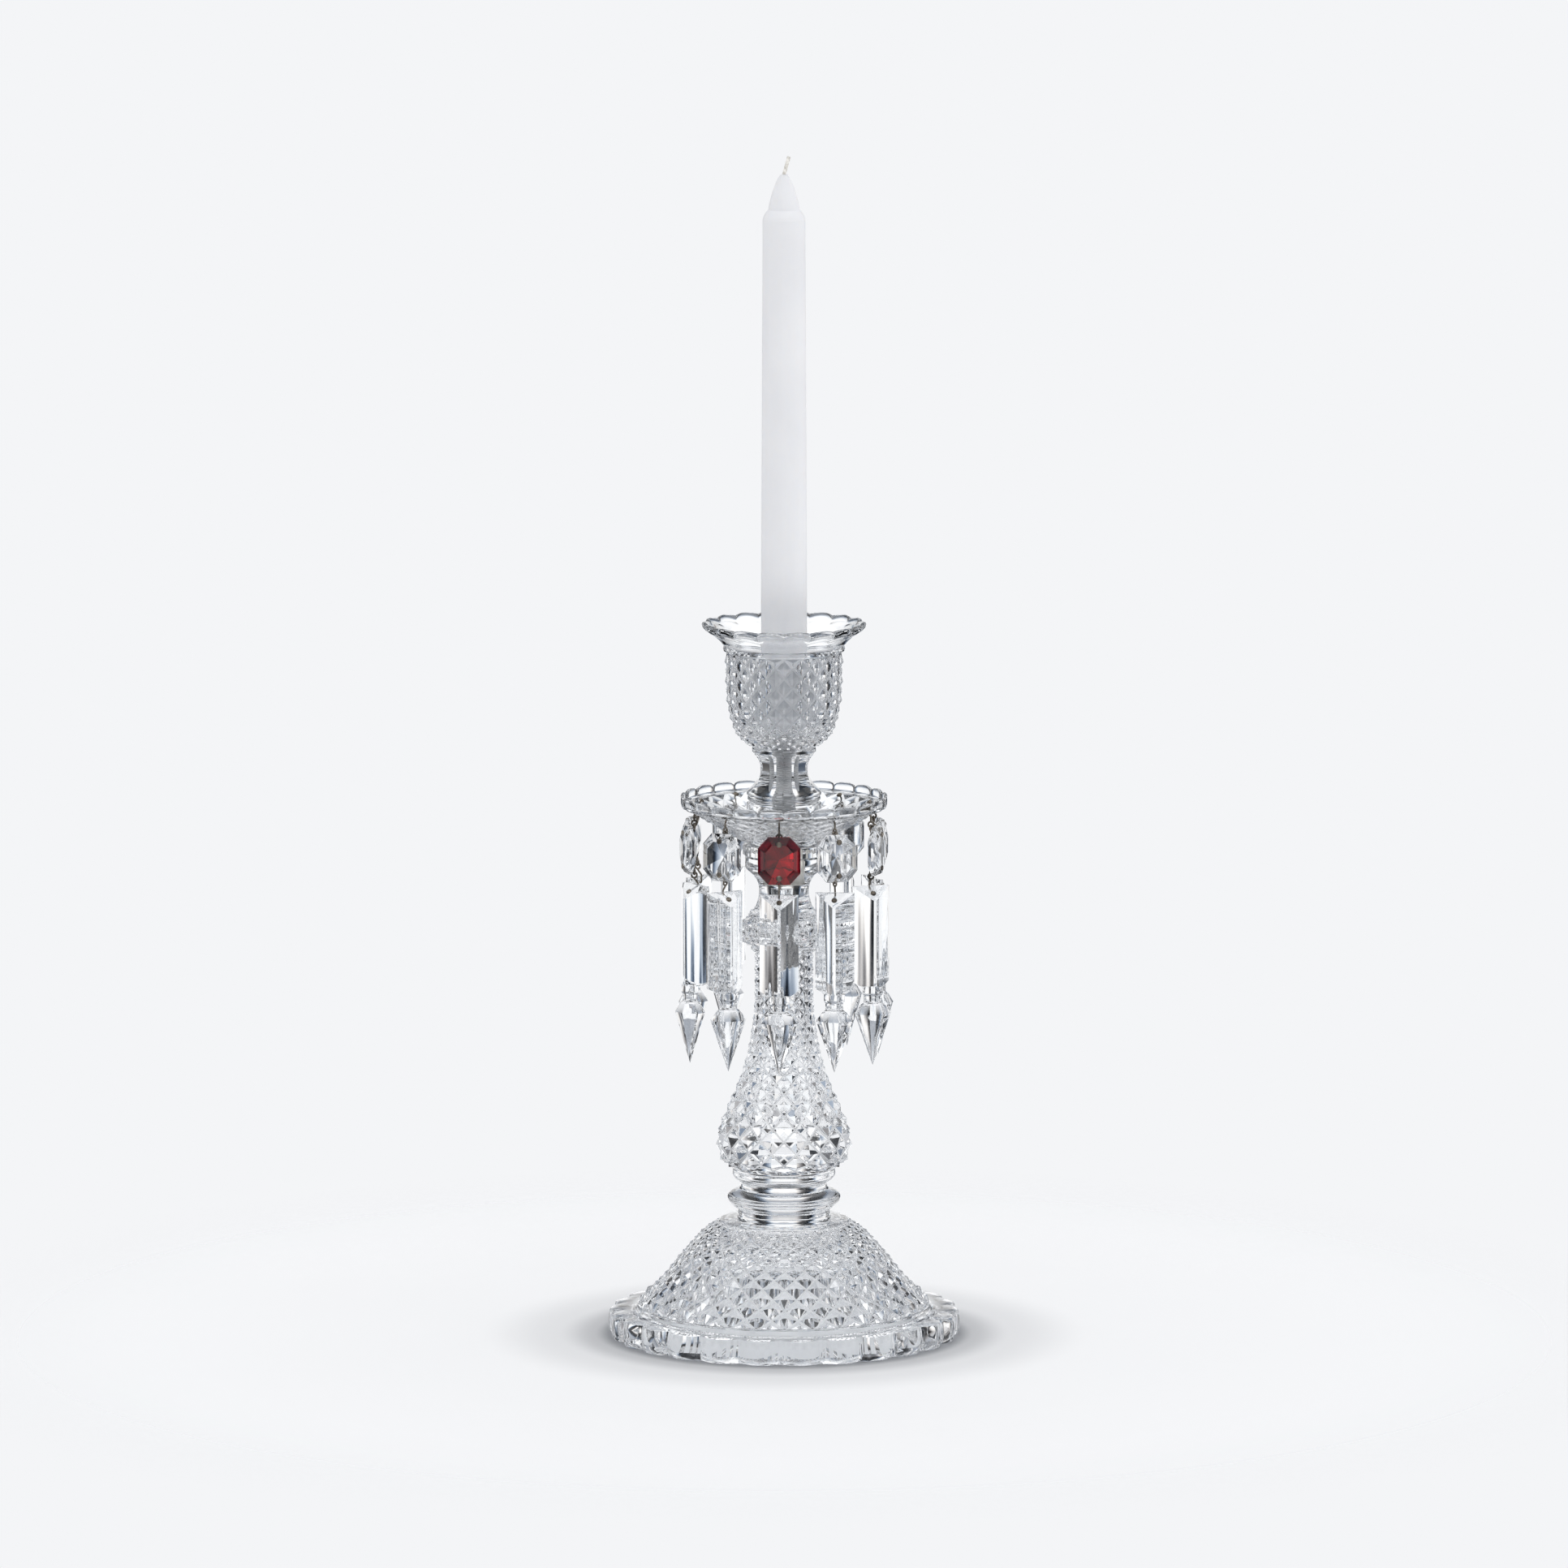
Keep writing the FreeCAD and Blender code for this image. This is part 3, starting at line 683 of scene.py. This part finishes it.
def floor():
    """A pale table top that fades into the backdrop. A shadow is painted on it round the foot, darkest and a
    little blue under the rim of the foot's plate.
    """
    mesh = bpy.data.meshes.new("floor")
    half = FLOOR_HALF
    corners = [(-half, -half, 0), (half, -half, 0), (half, half, 0), (-half, half, 0)]
    mesh.from_pydata(corners, [], [(0, 1, 2, 3)])
    ground = bpy.data.objects.new("floor", mesh)
    bpy.context.scene.collection.objects.link(ground)
    material, tree, shader = new_material("pale_floor", Roughness=1.0)
    shader.inputs["Specular IOR Level"].default_value = 0.0
    where = tree.nodes.new("ShaderNodeTexCoord")
    length = tree.nodes.new("ShaderNodeVectorMath")
    length.operation = "LENGTH"
    tree.links.new(where.outputs["Object"], length.inputs[0])
    ramp = tree.nodes.new("ShaderNodeValToRGB")
    ramp.color_ramp.interpolation = "EASE"
    stops = ramp.color_ramp.elements
    # The ramp paints the shadow round the foot: each stop darkens the floor at its radius in millimetres.
    for radius, shade in PAINTED_FLOOR_SHADOW[1:-1]:
        stops.new(radius / PAINTED_FLOOR_SHADOW[-1][0])
    for stop, (_, shade) in zip(stops, PAINTED_FLOOR_SHADOW):
        stop.color = [c * (shade + (1 - shade) * tint) for c, tint in zip(FLOOR_COLOUR, SHADOW_TINT)] + [1]
    out = maths(tree, "DIVIDE", length.outputs["Value"], PAINTED_FLOOR_SHADOW[-1][0] * MM)
    tree.links.new(out, ramp.inputs["Fac"])
    tree.links.new(ramp.outputs["Color"], shader.inputs["Base Color"])
    clear = tree.nodes.new("ShaderNodeBsdfTransparent")
    mix = tree.nodes.new("ShaderNodeMixShader")
    tree.links.new(ease(tree, length.outputs["Value"], *FLOOR_FADE), mix.inputs["Fac"])
    tree.links.new(shader.outputs[0], mix.inputs[1])
    tree.links.new(clear.outputs[0], mix.inputs[2])
    tree.links.new(mix.outputs[0], tree.nodes["Material Output"].inputs["Surface"])
    mesh.materials.append(material)
    ground.location.z = -0.0001


def tent_light(tree, around, rise, shift):
    """How bright the tent is one way: level windows with dark gaps between them, and a bright top."""
    around = maths(tree, "ADD", around, shift)
    rise = maths(tree, "ADD", rise, shift)
    windows = ease(tree, maths(tree, "COSINE", maths(tree, "MULTIPLY", around, TENT_WINDOWS)), *WINDOW_EDGE)
    level = ease(tree, rise, *HORIZON_EDGE)
    gap = maths(tree, "MULTIPLY", ease(tree, rise, *GAP_LOWER_EDGE), ease(tree, rise, *GAP_UPPER_EDGE))
    high = ease(tree, rise, *TOP_EDGE)
    base = maths(tree, "MULTIPLY_ADD", level, TENT_LEVEL, TENT_LOW)
    base = maths(tree, "MULTIPLY_ADD", gap, TENT_GAP, base)
    base = maths(tree, "MULTIPLY", base, maths(tree, "MULTIPLY_ADD", windows, 1 - WINDOW_FLOOR, WINDOW_FLOOR))
    return maths(tree, "MAXIMUM", base, maths(tree, "MULTIPLY", high, TENT_TOP))


def world():
    """A light tent that looks the same from eight sides. The colours part a little at the edges of its gaps,
    which stands in for the fire of the cut glass. Matt surfaces see an even light, the camera a backdrop."""
    sky = bpy.data.worlds.new("studio")
    bpy.context.scene.world = sky
    sky.use_nodes = True
    tree = sky.node_tree
    tree.nodes.clear()
    where = tree.nodes.new("ShaderNodeTexCoord")
    split = tree.nodes.new("ShaderNodeSeparateXYZ")
    tree.links.new(where.outputs["Generated"], split.inputs["Vector"])
    around = maths(tree, "ARCTAN2", split.outputs["Y"], split.outputs["X"])
    rise = maths(tree, "ARCSINE", split.outputs["Z"])
    join = tree.nodes.new("ShaderNodeCombineColor")
    for channel, side in (("Red", -1), ("Green", 0), ("Blue", 1)):
        tree.links.new(tent_light(tree, around, rise, side * FIRE), join.inputs[channel])
    tint = tree.nodes.new("ShaderNodeMix")
    tint.data_type = "RGBA"
    tint.inputs["A"].default_value = DIM_TINT
    tint.inputs["B"].default_value = BRIGHT_TINT
    tone = tree.nodes.new("ShaderNodeSeparateColor")
    tree.links.new(join.outputs["Color"], tone.inputs["Color"])
    tree.links.new(ease(tree, tone.outputs["Green"], 0.0, 1.0), tint.inputs["Factor"])
    tinted = tree.nodes.new("ShaderNodeMix")
    tinted.data_type = "RGBA"
    tinted.blend_type = "MULTIPLY"
    tinted.inputs["Factor"].default_value = 1.0
    tree.links.new(join.outputs["Color"], tinted.inputs["A"])
    tree.links.new(tint.outputs["Result"], tinted.inputs["B"])
    lit = tree.nodes.new("ShaderNodeBackground")
    tree.links.new(tinted.outputs["Result"], lit.inputs["Color"])
    seen = tree.nodes.new("ShaderNodeBackground")
    seen.inputs["Color"].default_value = BACKDROP
    even = tree.nodes.new("ShaderNodeBackground")
    even.inputs["Color"].default_value = EVEN_LIGHT
    strength = maths(tree, "MULTIPLY_ADD", split.outputs["X"], EVEN_SLOPE, EVEN_STRENGTH)
    tree.links.new(strength, even.inputs["Strength"])
    path = tree.nodes.new("ShaderNodeLightPath")
    matt = tree.nodes.new("ShaderNodeMixShader")
    tree.links.new(path.outputs["Is Diffuse Ray"], matt.inputs["Fac"])
    tree.links.new(lit.outputs[0], matt.inputs[1])
    tree.links.new(even.outputs[0], matt.inputs[2])
    mix = tree.nodes.new("ShaderNodeMixShader")
    out = tree.nodes.new("ShaderNodeOutputWorld")
    tree.links.new(path.outputs["Is Camera Ray"], mix.inputs["Fac"])
    tree.links.new(matt.outputs[0], mix.inputs[1])
    tree.links.new(seen.outputs[0], mix.inputs[2])
    tree.links.new(mix.outputs[0], out.inputs["Surface"])


def camera():
    """Looks slightly down at the candlestick from far off."""
    data = bpy.data.cameras.new("camera")
    data.lens = LENS
    data.sensor_width = 36.0
    data.clip_end = 60.0
    eye = bpy.data.objects.new("camera", data)
    eye.location = (0, -CAMERA_BACK, CAMERA_HEIGHT)
    eye.rotation_euler = (math.pi / 2 - CAMERA_PITCH, 0, 0)
    bpy.context.scene.collection.objects.link(eye)
    bpy.context.scene.camera = eye


def light_paths():
    """Cut crystal needs many refractions before a ray gets out."""
    scene = bpy.context.scene
    scene.view_settings.view_transform = "Standard"
    cycles = scene.cycles
    cycles.max_bounces = 32
    cycles.transmission_bounces = 32
    cycles.glossy_bounces = 12
    cycles.diffuse_bounces = 4
    cycles.sample_clamp_indirect = 4.0
    cycles.blur_glossy = 0.0


camera()
foot()
stem()
pan()
cup()
bolt()
carried_nodes()
floor()
world()
light_paths()
